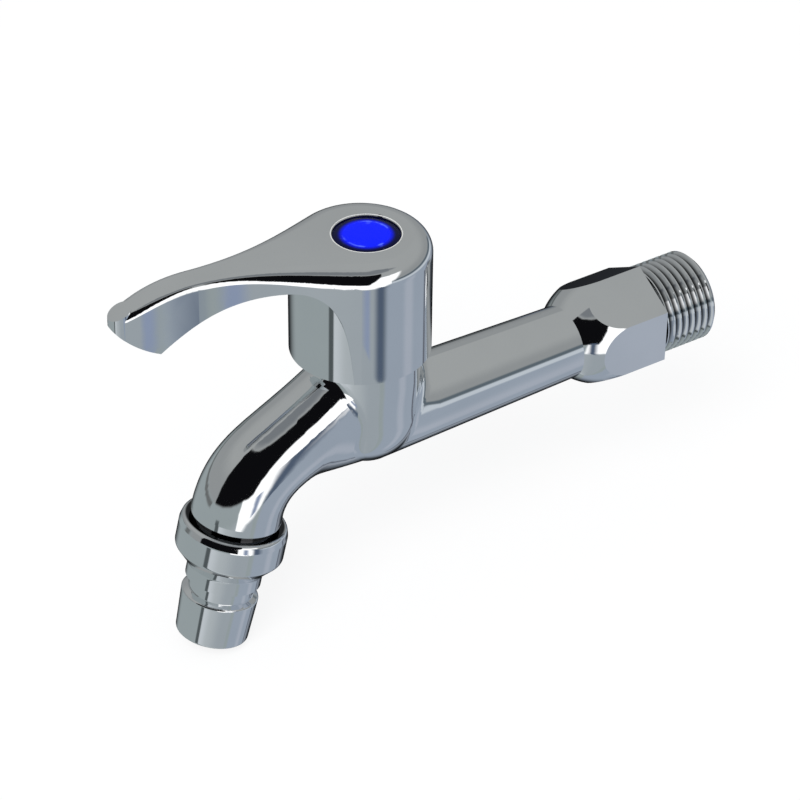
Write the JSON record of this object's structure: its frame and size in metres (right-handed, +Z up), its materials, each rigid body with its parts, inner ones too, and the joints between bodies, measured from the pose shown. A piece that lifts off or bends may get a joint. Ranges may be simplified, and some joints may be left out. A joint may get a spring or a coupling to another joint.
{
  "type": "wall tap with hose nozzle",
  "caption": "Chrome-plated long-body wall tap: threaded inlet with hexagon, straight tube, lever-handled ceramic-disc valve with a blue cap, and a down-turned spout with hose nozzle.",
  "frame": {"origin": "on the inlet thread's axis, at the face of the hexagon that stops against the wall fitting", "axes": "+Y along the inlet axis into the wall, +Z up, the spout towards -Y"},
  "size_m": [0.0305, 0.146, 0.0904],
  "materials": {
    "chrome_body": "polished",
    "chrome_handle": "polished",
    "chrome_nozzle": "polished",
    "bare_brass": "satin",
    "steel": "satin",
    "disc_ceramic": "satin",
    "black_rubber": "matte",
    "grey_fibre": "matte",
    "white_nylon": "matte",
    "blue_plastic": "gloss"
  },
  "bodies": {
    "tap": {"tap_body": "chrome_body", "cartridge_housing": "bare_brass", "housing_gasket": "grey_fibre", "disc_seal": "black_rubber", "seal_support_ring": "bare_brass", "fixed_disc": "disc_ceramic", "hose_nozzle": "chrome_nozzle", "nozzle_washer": "black_rubber"},
    "handle": {"lever_handle": "chrome_handle", "spline_insert": "white_nylon", "handle_screw": "steel", "screw_washer": "bare_brass", "index_cap": "blue_plastic", "spindle": "bare_brass", "spindle_o_ring_lower": "black_rubber", "spindle_o_ring_upper": "black_rubber", "friction_washer": "white_nylon", "spindle_circlip": "steel", "moving_disc": "disc_ceramic"}
  },
  "joints": [
    {"name": "handle_turn", "type": "hinge", "parent": "tap", "child": "handle", "pos_m": [0, -0.0736, 0.047], "axis": [0, 0, 1], "range_deg": [0, 90]}
  ]
}
